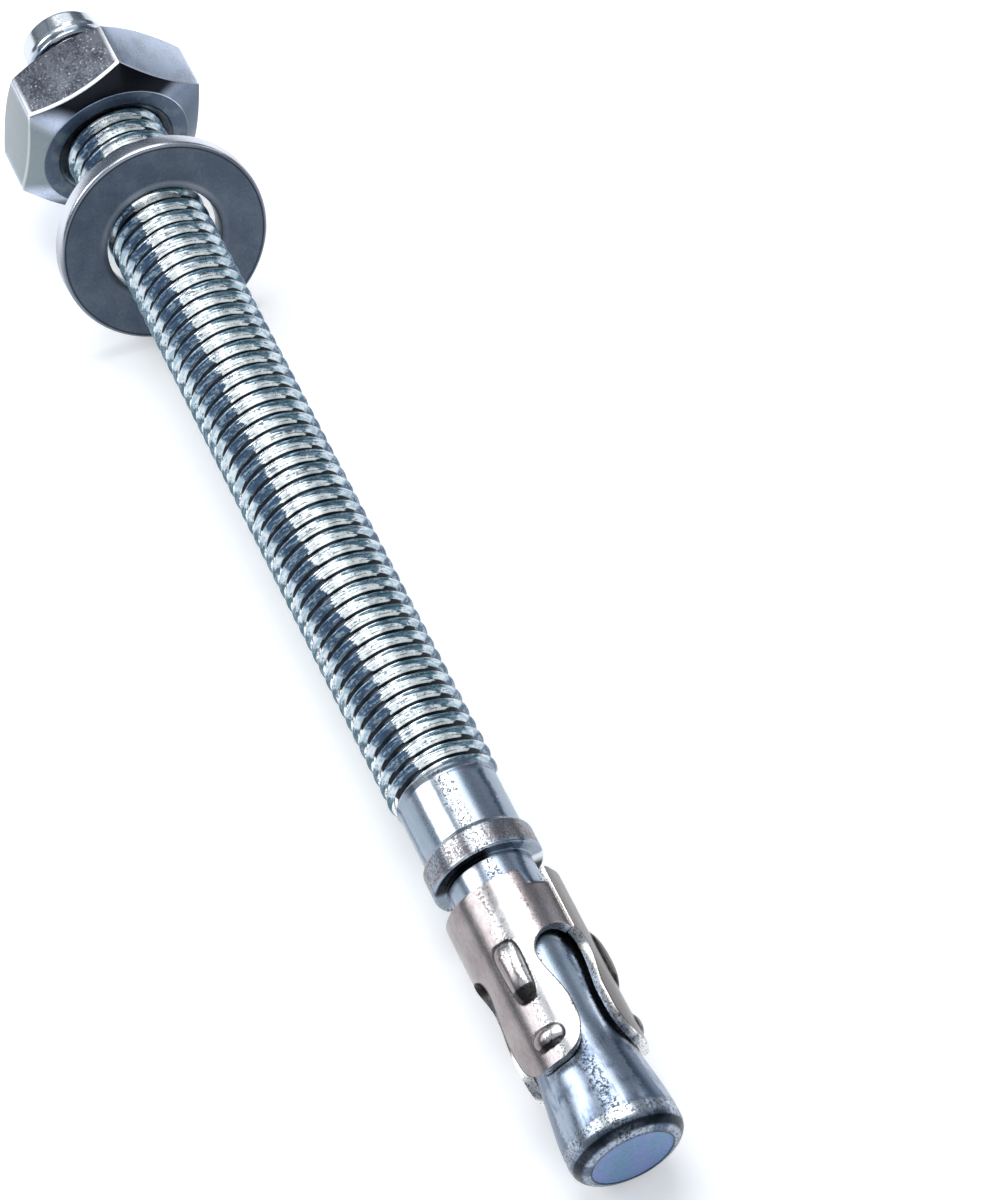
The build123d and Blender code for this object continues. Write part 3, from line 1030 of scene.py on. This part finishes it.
def brushClip():
    look = clipLook
    finish = Finish("rolled stainless sheet")
    place, _, angle, along = finish.standing()
    shade = finish.attribute("shade")
    cloud, grain, brushed = (finish.noise(place, *kind) for kind in look["noises"])
    shift = sway(cloud, grain, *look["stripeSway"])
    # One painted highlight stripe on each finger, with flecks along its border.
    wearAndHighlight, outer, inner = (stripes(angle, look["highlightStripeTurn"], *stripe, shift) for stripe in look["stripes"])
    tone = blend(patches(brushed, cloud, *look["brushedPatches"]), look["brown"], look["warm"])
    # The side in painted shade.
    paintedShadeSide = step(towards(angle, look["paintedShadeTurn"]), *look["paintedShadeEdge"])
    tone = blend(paintedShadeSide * look["paintedShadeShare"], tone, look["dull"])
    onBand = 1 - step(along - clip["from"], *look["bandTo"])
    wearAndHighlight = wearAndHighlight * (1 - onBand * step(cloud, *look["bandPatches"]) * look["bandShare"])
    tone = blend(wearAndHighlight, tone, look["wearAndHighlight"])
    lit = 1 - step(shade, *look["litTo"])
    tone = blend(lit * look["litShare"], tone, look["wearAndHighlight"])
    fleck = (outer - inner) * step(grain, *look["flecks"]) * (1 - lit)
    dark = step(shade, *look["darkFrom"])
    dark = (fleck * look["fleckShare"] + dark * look["darkShare"]).atMost(1.0)
    tone = blend(dark, tone, look["dark"])
    roughness = look["roughness"] + grain * look["grainRoughness"]
    height = grain * look["grainRelief"] + brushed * look["brushedRelief"]
    return finish.metal(tone, roughness, height, look["relief"], 1 - lit * look["litMetal"])


def cutClip():
    look = clipLook
    finish = Finish("cut edge of the sheet")
    place, _, angle, along = finish.standing()
    grain = finish.noise(place, *look["cutNoise"])
    tone = blend(step(grain, *look["cutPatches"]), look["brown"], look["cutEdge"])
    # The edges of one slot in painted shade, ending short of the tips.
    turned = step(towards(angle, look["darkEdgeTurn"]), *look["darkEdge"])
    dark = turned * (1 - step(along - clip["from"], *look["darkEdgeTo"]))
    tone = blend(dark, tone, look["dark"])
    roughness = look["cutRoughness"] + grain * look["cutGrainRoughness"]
    return finish.metal(tone, roughness, grain, look["relief"])


for piece, material in (
    (studPiece, plateStud()),
    (nutPiece, plateNut()),
    (washerPiece, plateWasher()),
    (clipPiece, brushClip()),
    (clipPiece, cutClip()),
):
    piece.data.materials.append(material)
print("finishes made")


# Studio: a pale floor, soft lamps, a sky that darkens to its horizon, and the camera.
studio = {
    "floorHalf": 1.5,
    "floorColour": (0.93, 0.935, 0.94),
    "floorGlow": 0.34,  # added where the floor is looked at, so that it shows white
    "zenith": (0.36, 0.40, 0.46),
    "horizon": (0.05, 0.075, 0.10),
    "lamps": {  # place, size, power and colour
        "overhead": ((-0.20, 0.04, 0.50), (0.36, 0.30), 1.35, (1.0, 1.0, 1.0)),
        "left": ((-0.24, -0.36, 0.28), (0.32, 0.26), 0.95, (0.96, 0.98, 1.0)),
        "right": ((-0.10, 0.48, 0.22), (0.22, 0.22), 0.15, (0.90, 0.95, 1.0)),
        "back": ((-0.55, 0.12, 0.38), (0.34, 0.30), 0.34, (1.0, 1.0, 1.0)),
        "front": ((0.56, 0.0, 0.22), (0.50, 0.36), 0.85, (1.0, 1.0, 1.0)),
    },
    "cameraAt": (0.198684, -0.065482, 0.275853),
    "cameraTurn": (36.98013, 1.09424, 66.12064),  # degrees
    "lens": 116.34,
    "nearest": 0.01,  # nothing nearer to it is drawn
}


def layFloor():
    half = studio["floorHalf"]
    mesh = bpy.data.meshes.new("floor")
    corners = [(-half, -half, 0), (half, -half, 0), (half, half, 0), (-half, half, 0)]
    mesh.from_pydata(corners, [], [(0, 1, 2, 3)])
    finish = Finish("pale floor")
    camera, glossy, through = (finish.add("LightPath", {}, ray) for ray in (0, 3, 6))
    seen = camera.atLeast(glossy.atLeast(through))
    matt = finish.add("BsdfDiffuse", {}, 0, studio["floorColour"])
    glow = finish.add("Emission", {}, 0, (1, 1, 1), seen * studio["floorGlow"])
    finish.add("OutputMaterial", {}, 0, finish.add("AddShader", {}, 0, matt, glow))
    mesh.materials.append(finish.material)
    floor = addObject("floor", mesh)


def hangLamps():
    for name, (at, size, power, colour) in studio["lamps"].items():
        light = bpy.data.lights.new(name, "AREA")
        light.shape = "RECTANGLE"
        light.size, light.size_y = size
        light.energy = power
        light.color = colour
        holder = addObject(name, light)
        holder.location = at
        holder.rotation_euler = Vector(at).to_track_quat("Z", "Y").to_euler()


def setSky():
    # From the horizon's colour to the zenith's, by how far up the sky lies.
    world = bpy.data.worlds.new("studio")
    world.use_nodes = True
    sky = Nodes(world.node_tree)
    up = sky.add("SeparateXYZ", {}, 2, sky.add("TexCoord", {}, 0))
    shade = blend(up, studio["horizon"], studio["zenith"])
    sky.feed(sky.tree.nodes["Background"].inputs["Color"], shade)
    bpy.context.scene.world = world


def placeCamera():
    camera = addObject("camera", bpy.data.cameras.new("camera"))
    camera.data.lens = studio["lens"]
    camera.data.clip_start = studio["nearest"]
    camera.location = studio["cameraAt"]
    camera.rotation_euler = [radians(a) for a in studio["cameraTurn"]]
    bpy.context.scene.camera = camera


layFloor()
hangLamps()
setSky()
placeCamera()
bpy.context.scene.view_settings.view_transform = "Standard"
print("studio set")
